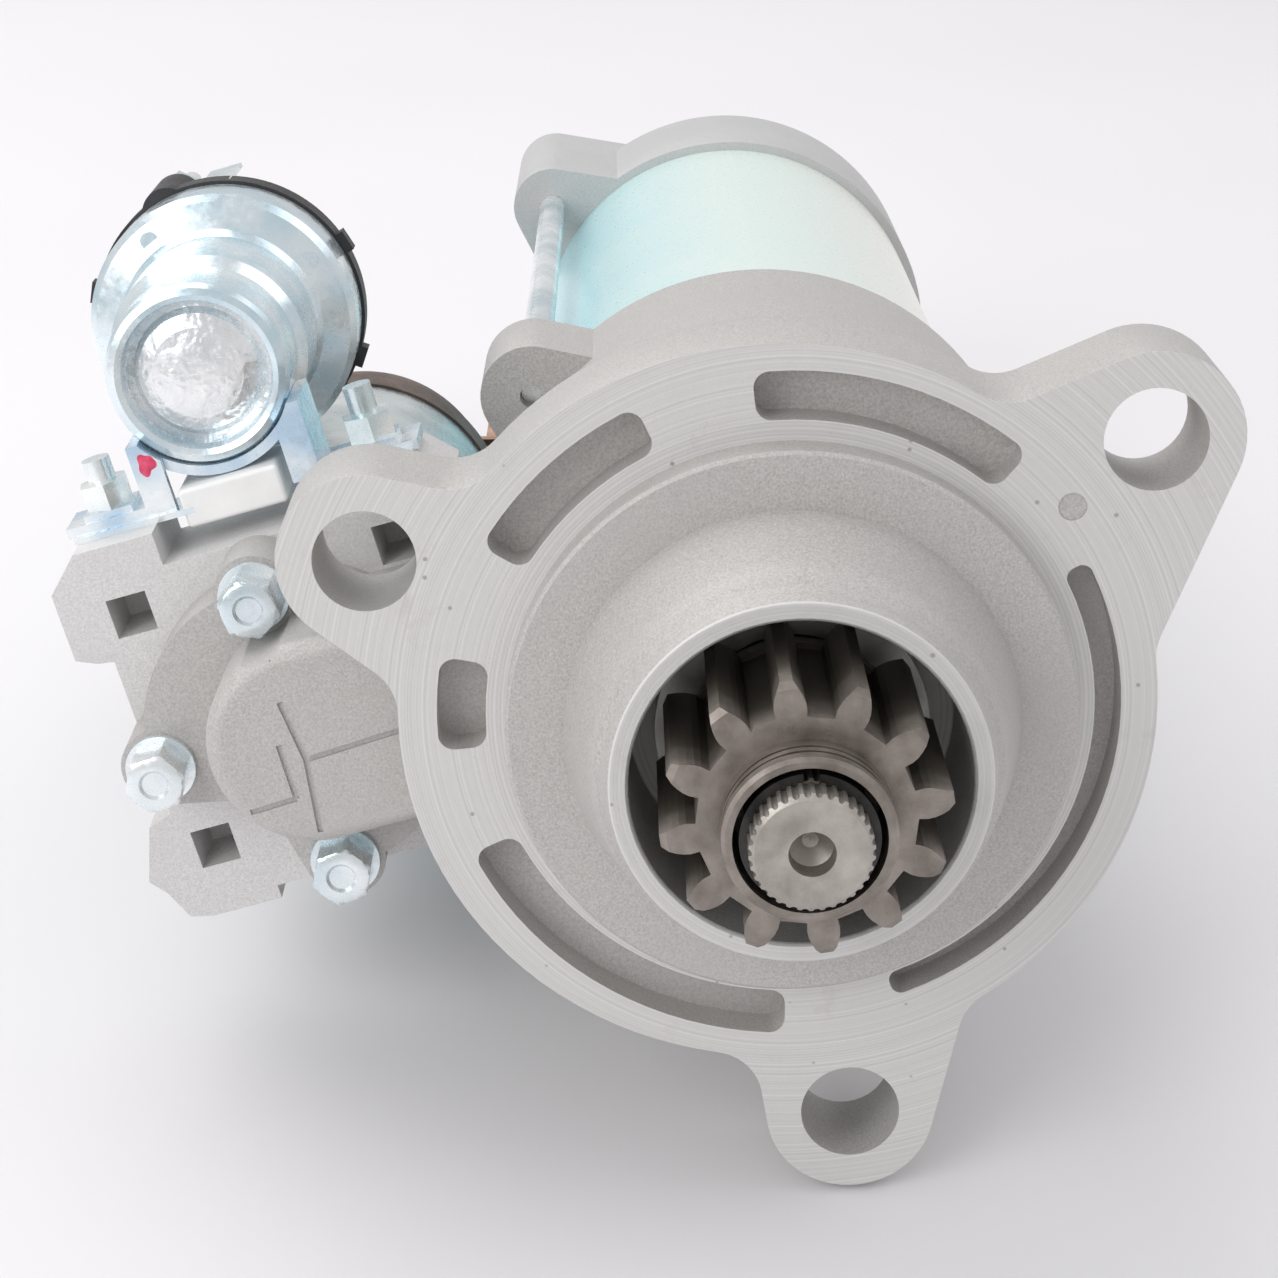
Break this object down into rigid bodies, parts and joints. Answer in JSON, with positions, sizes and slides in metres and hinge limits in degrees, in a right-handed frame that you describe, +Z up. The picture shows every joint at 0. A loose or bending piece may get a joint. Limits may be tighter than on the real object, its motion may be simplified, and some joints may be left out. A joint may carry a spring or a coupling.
{
  "type": "starter motor",
  "caption": "Heavy-duty pre-engaged starter motor with a three-eared flange, sliding toothed pinion, planetary reduction, side solenoid and a small switch relay bracketed on top.",
  "frame": {"origin": "on the pinion axis in the plane of the flange's mounting face, which is the centre of the bolt circle", "axes": "+Y along the motor axis to the rear cover, -Y out through the pinion, +Z up with the relay at the top, +X to the right seen from the pinion end"},
  "size_m": [0.198, 0.3838, 0.1559],
  "materials": {
    "housing_casting": "sand cast, machined on the flange face",
    "solenoid_block_casting": "as cast",
    "cover_casting": "as cast",
    "yoke_zinc": "zinc plated",
    "solenoid_can_zinc": "zinc plated",
    "pinion_steel": "hardened, oiled",
    "shaft_steel": "ground and splined",
    "bolt_zinc": "bright zinc",
    "relay_can_zinc": "bright zinc",
    "relay_plug_zinc": "bright zinc, staked",
    "stop_ring_black": "black oxide",
    "relay_base_black": "moulded",
    "bracket_zinc": "bright zinc",
    "small_fastener_zinc": "bright zinc",
    "sleeve_white": "moulded",
    "cap_brown": "moulded",
    "terminal_copper": "tinned copper",
    "terminal_nut_steel": "zinc plated",
    "rubber_black": "moulded",
    "seal_case_grey": "pressed",
    "bush_bronze": "sintered",
    "gear_steel": "hardened",
    "lamination_steel": "laminated",
    "winding_copper": "enamelled copper",
    "magnet_grey": "ferrite",
    "brush_carbon": "carbon and copper",
    "insulator_brown": "moulded",
    "spring_steel": "drawn wire",
    "magnetic_steel": "turned"
  },
  "bodies": {
    "motor_frame": {"brush_holder": "insulator_brown", "brush_springs": "spring_steel", "brushes": "brush_carbon", "centre_plate": "gear_steel", "clutch_bush": "bush_bronze", "coil_bobbin": "insulator_brown", "drive_bush": "bush_bronze", "drive_end_housing": "housing_casting", "field_magnets": "magnet_grey", "foot_screws": "small_fastener_zinc", "foot_washers": "bracket_zinc", "front_armature_bush": "bush_bronze", "lead_grommet": "rubber_black", "lead_sleeve": "sleeve_white", "lever_pivot_pin": "gear_steel", "link_bar": "bracket_zinc", "motor_lead": "terminal_copper", "nose_seal": "seal_case_grey", "rear_armature_bush": "bush_bronze", "rear_cover": "cover_casting", "relay_base": "relay_base_black", "relay_bracket": "bracket_zinc", "relay_can": "relay_can_zinc", "relay_coil": "winding_copper", "relay_core": "magnetic_steel", "relay_plug": "relay_plug_zinc", "relay_studs": "small_fastener_zinc", "relay_tabs": "small_fastener_zinc", "ring_gear": "gear_steel", "small_nuts": "small_fastener_zinc", "solenoid_block": "solenoid_block_casting", "solenoid_bolts": "bolt_zinc", "solenoid_can": "solenoid_can_zinc", "solenoid_cap": "cap_brown", "solenoid_coil": "winding_copper", "solenoid_core": "magnetic_steel", "terminal_nuts": "terminal_nut_steel", "terminal_studs": "terminal_copper", "through_bolts": "bolt_zinc", "yoke": "yoke_zinc"},
    "armature": {"armature_shaft": "gear_steel", "armature_core": "lamination_steel", "armature_windings": "winding_copper", "commutator": "winding_copper"},
    "carrier": {"planet_carrier": "gear_steel", "planet_pins": "gear_steel", "clutch_rollers": "gear_steel"},
    "planet_1": {"planet_gear_1": "gear_steel"},
    "planet_2": {"planet_gear_2": "gear_steel"},
    "planet_3": {"planet_gear_3": "gear_steel"},
    "drive_shaft": {"output_shaft": "shaft_steel", "stop_ring": "stop_ring_black"},
    "pinion_drive": {"pinion": "pinion_steel", "shift_collar": "gear_steel"},
    "lever": {"shift_lever": "gear_steel"},
    "solenoid_plunger": {"plunger": "magnetic_steel", "return_spring": "spring_steel"},
    "contact": {"contact_bridge": "terminal_copper"},
    "relay_armature": {"relay_plunger": "magnetic_steel", "relay_contact": "terminal_copper"}
  },
  "joints": [
    {"name": "armature_spin", "type": "hinge", "parent": "motor_frame", "child": "armature", "pos_m": [0, 0.17, 0], "axis": [0, 1, 0], "continuous": true},
    {"name": "carrier_spin", "type": "hinge", "parent": "motor_frame", "child": "carrier", "pos_m": [0, 0.065, 0], "axis": [0, 1, 0], "continuous": true},
    {"name": "planet_1_spin", "type": "hinge", "parent": "carrier", "child": "planet_1", "pos_m": [0, 0.091, 0.02363], "axis": [0, 1, 0], "continuous": true},
    {"name": "planet_2_spin", "type": "hinge", "parent": "carrier", "child": "planet_2", "pos_m": [-0.02046, 0.091, -0.01181], "axis": [0, 1, 0], "continuous": true},
    {"name": "planet_3_spin", "type": "hinge", "parent": "carrier", "child": "planet_3", "pos_m": [0.02046, 0.091, -0.01181], "axis": [0, 1, 0], "continuous": true},
    {"name": "shaft_overrun", "type": "hinge", "parent": "carrier", "child": "drive_shaft", "pos_m": [0, 0, 0], "axis": [0, 1, 0], "continuous": true},
    {"name": "pinion_slide", "type": "slide", "parent": "drive_shaft", "child": "pinion_drive", "axis": [0, -1, 0], "range_m": [0, 0.0139]},
    {"name": "lever_swing", "type": "hinge", "parent": "motor_frame", "child": "lever", "pos_m": [-0.04643, 0.03, -0.00731], "axis": [0.1555, 0, -0.9878], "range_deg": [0, 17]},
    {"name": "plunger_slide", "type": "slide", "parent": "motor_frame", "child": "solenoid_plunger", "axis": [0, 1, 0], "range_m": [0, 0.0108]},
    {"name": "contact_slide", "type": "slide", "parent": "motor_frame", "child": "contact", "axis": [0, 1, 0], "range_m": [0, 0.003]},
    {"name": "relay_slide", "type": "slide", "parent": "motor_frame", "child": "relay_armature", "axis": [0, 1, 0], "range_m": [0, 0.0025], "stiffness_N_per_m": 400, "springref_m": -0.002}
  ],
  "couplings": [
    {"joint": "carrier_spin", "follows": "armature_spin", "ratio": 0.22222},
    {"joint": "planet_1_spin", "follows": "armature_spin", "ratio": -0.62222},
    {"joint": "planet_2_spin", "follows": "armature_spin", "ratio": -0.62222},
    {"joint": "planet_3_spin", "follows": "armature_spin", "ratio": -0.62222},
    {"joint": "lever_swing", "follows": "plunger_slide", "rad_per_m": 27.423},
    {"joint": "pinion_slide", "follows": "plunger_slide", "ratio": 1.2841},
    {"joint": "contact_slide", "follows": "plunger_slide", "ratio": 0.2775}
  ]
}
